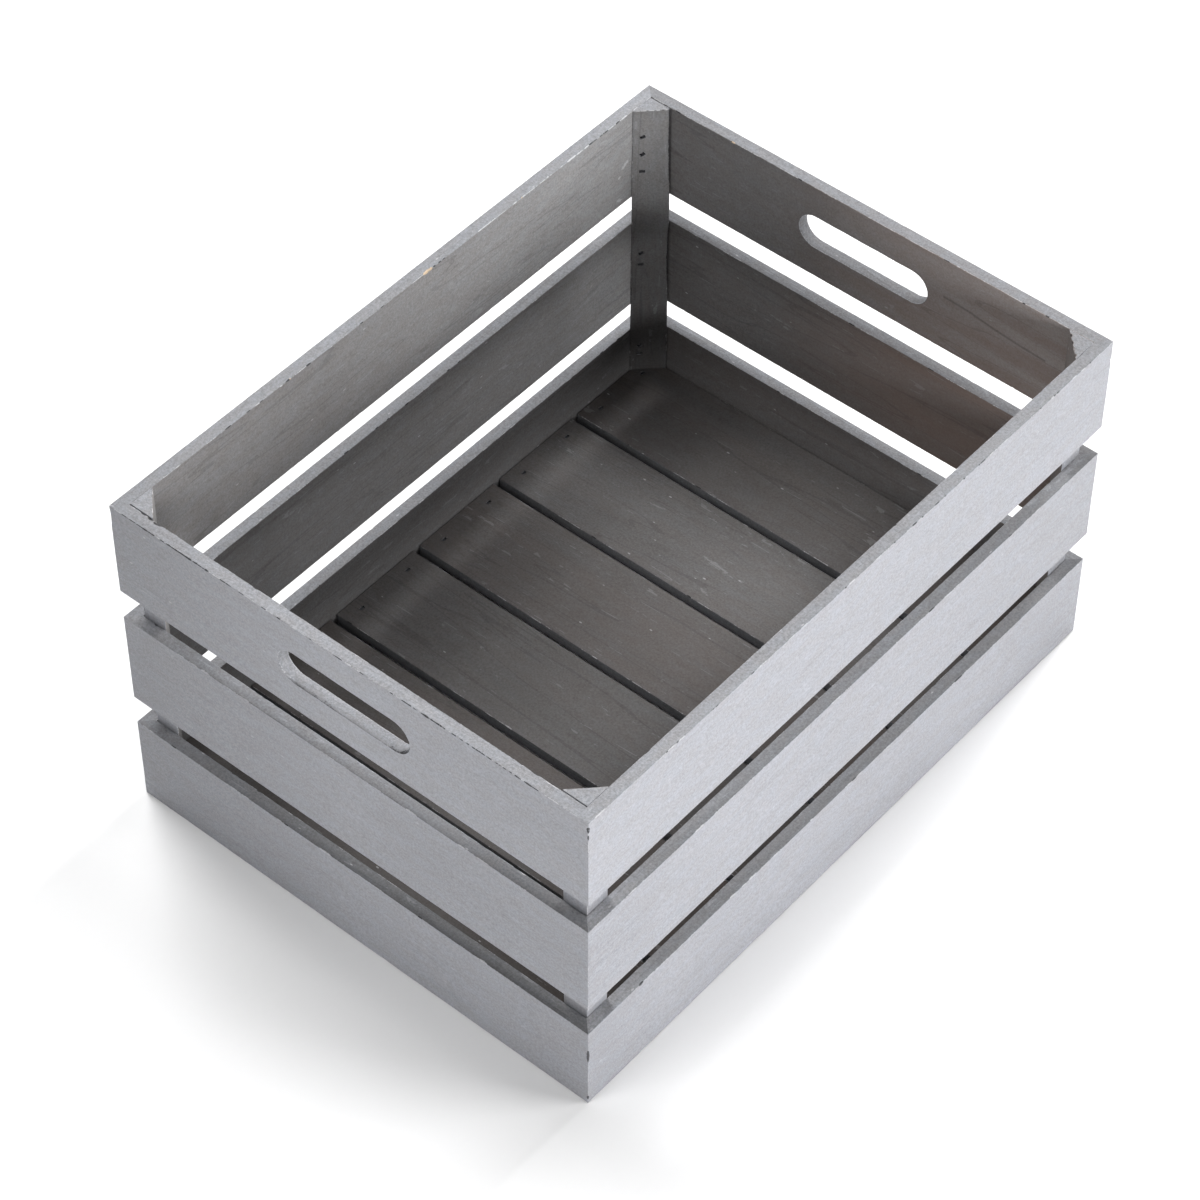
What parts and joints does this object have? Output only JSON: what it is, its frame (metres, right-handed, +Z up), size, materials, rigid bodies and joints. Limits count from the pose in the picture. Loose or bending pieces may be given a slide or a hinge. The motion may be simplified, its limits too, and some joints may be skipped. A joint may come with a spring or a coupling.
{
  "type": "kindling box",
  "caption": "Open-topped slatted wooden kindling box in a grey wash, with mitred corners, triangular corner posts and a hand hole in each short side.",
  "frame": {"origin": "centre of the outline on the surface that the box stands on", "axes": "+X along the length towards the right hand-holed side, +Y along the width towards the back, +Z up"},
  "size_m": [0.4, 0.298, 0.214],
  "materials": {
    "side_boards": "thin grey stain over sawn pine, matt, worn pale along the edges",
    "corner_posts": "thin grey stain over sawn pine, matt",
    "floor": "thin grey stain over sawn pine, matt",
    "brads": "dull galvanised steel"
  },
  "bodies": {
    "root": {"front_top_slat": "side_boards", "front_middle_slat": "side_boards", "front_bottom_slat": "side_boards", "back_top_slat": "side_boards", "back_middle_slat": "side_boards", "back_bottom_slat": "side_boards", "left_top_slat": "side_boards", "left_middle_slat": "side_boards", "left_bottom_slat": "side_boards", "right_top_slat": "side_boards", "right_middle_slat": "side_boards", "right_bottom_slat": "side_boards", "front_left_post": "corner_posts", "front_right_post": "corner_posts", "back_left_post": "corner_posts", "back_right_post": "corner_posts", "front_cleat": "floor", "back_cleat": "floor", "base_board_1": "floor", "base_board_2": "floor", "base_board_3": "floor", "base_board_4": "floor", "base_board_5": "floor", "base_board_6": "floor", "front_left_brads": "brads", "front_right_brads": "brads", "back_left_brads": "brads", "back_right_brads": "brads", "front_cleat_brads": "brads", "back_cleat_brads": "brads", "base_board_brads": "brads"}
  },
  "joints": []
}
